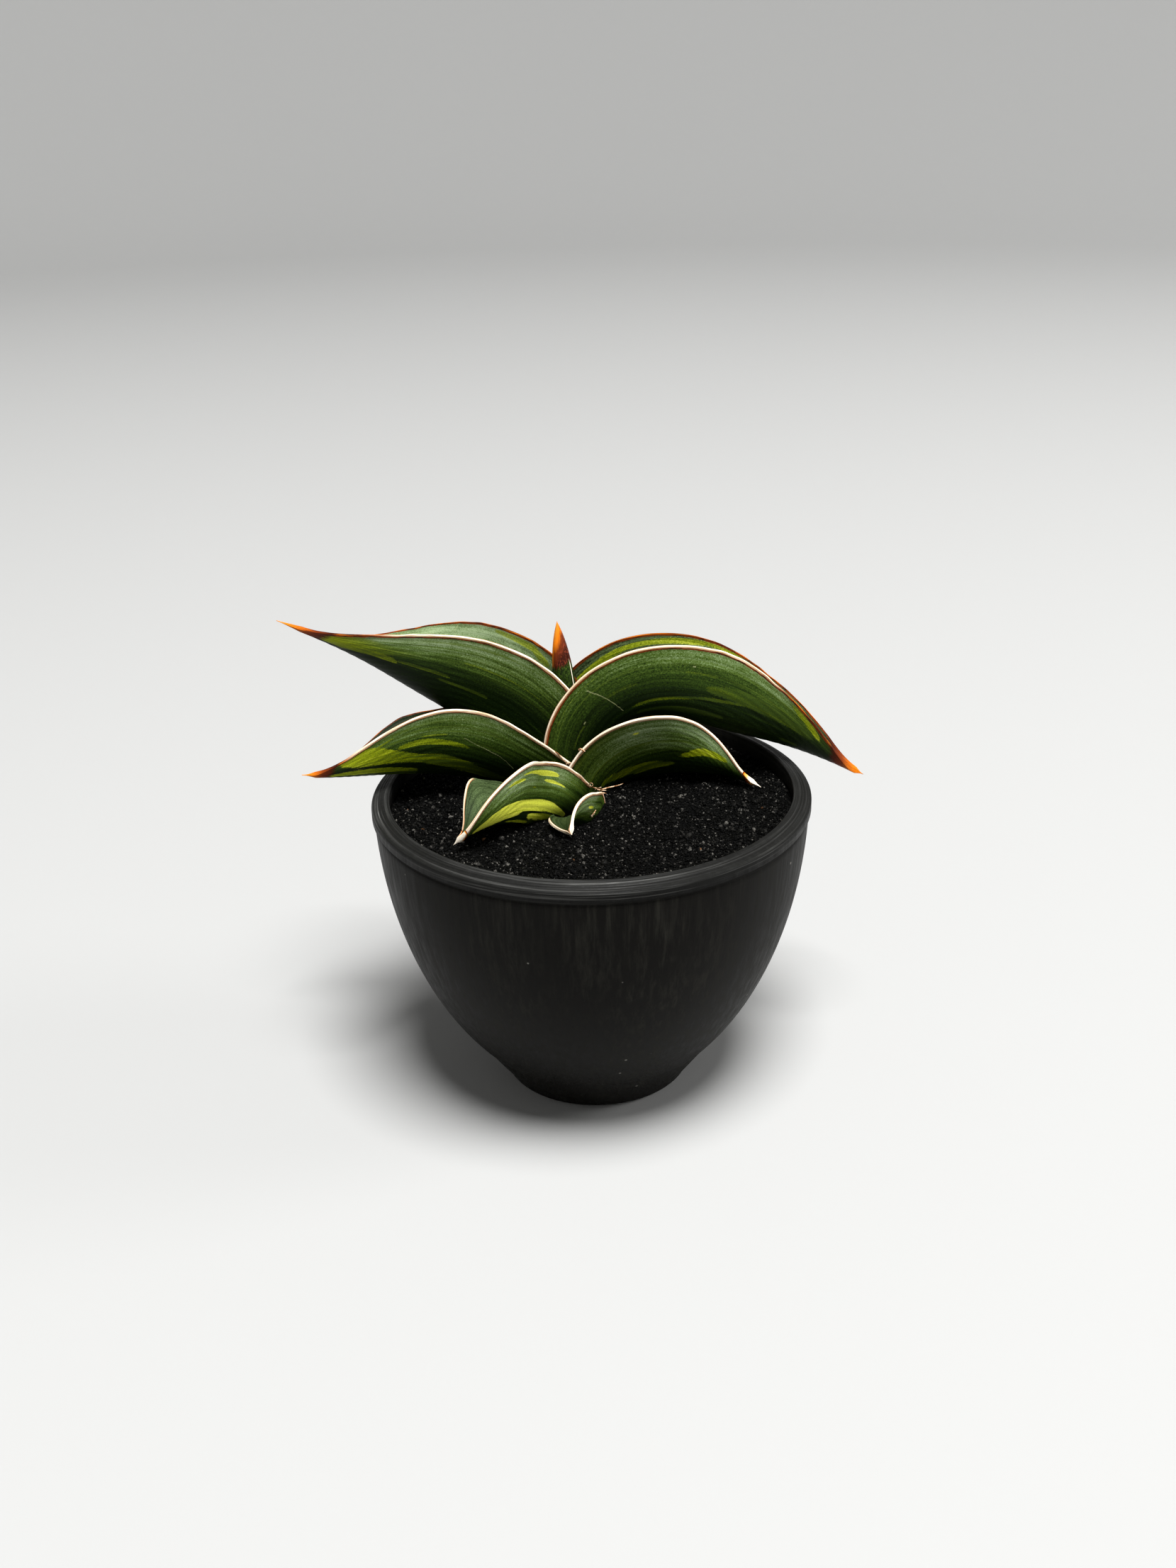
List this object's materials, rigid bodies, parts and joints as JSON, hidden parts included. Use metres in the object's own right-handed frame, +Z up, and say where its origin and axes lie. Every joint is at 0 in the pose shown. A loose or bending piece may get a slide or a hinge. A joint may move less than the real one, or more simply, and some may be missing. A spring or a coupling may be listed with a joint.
{
  "type": "potted variegated sansevieria rorida",
  "caption": "Young variegated sansevieria with folded, spine-tipped leaves in opposite ranks, rooted in gritty soil in a round-bellied dark pot.",
  "frame": {"origin": "centre of the pot's flat underside, on the surface that it stands on", "axes": "+Z up, -Y towards the front, the side with the lowest leaf, and +X to the right seen from there"},
  "size_m": [0.151, 0.11, 0.1186],
  "materials": {
    "pot": "satin black plastic with fine upright scuffs",
    "soil": "coarse black grit",
    "rhizome": "matte, papery",
    "spear": "satin, orange to red-brown, green at the foot",
    "leaf": "satin dark green with lime stripes and pale papery margins"
  },
  "bodies": {
    "root": {"pot": "pot", "soil": "soil", "rhizome": "rhizome", "leaf_spear": "spear", "leaf_left_upper": "leaf", "leaf_right_upper": "leaf", "leaf_left_middle": "leaf", "leaf_right_middle": "leaf", "leaf_left_lower": "leaf", "leaf_front_lowest": "leaf"}
  },
  "joints": []
}
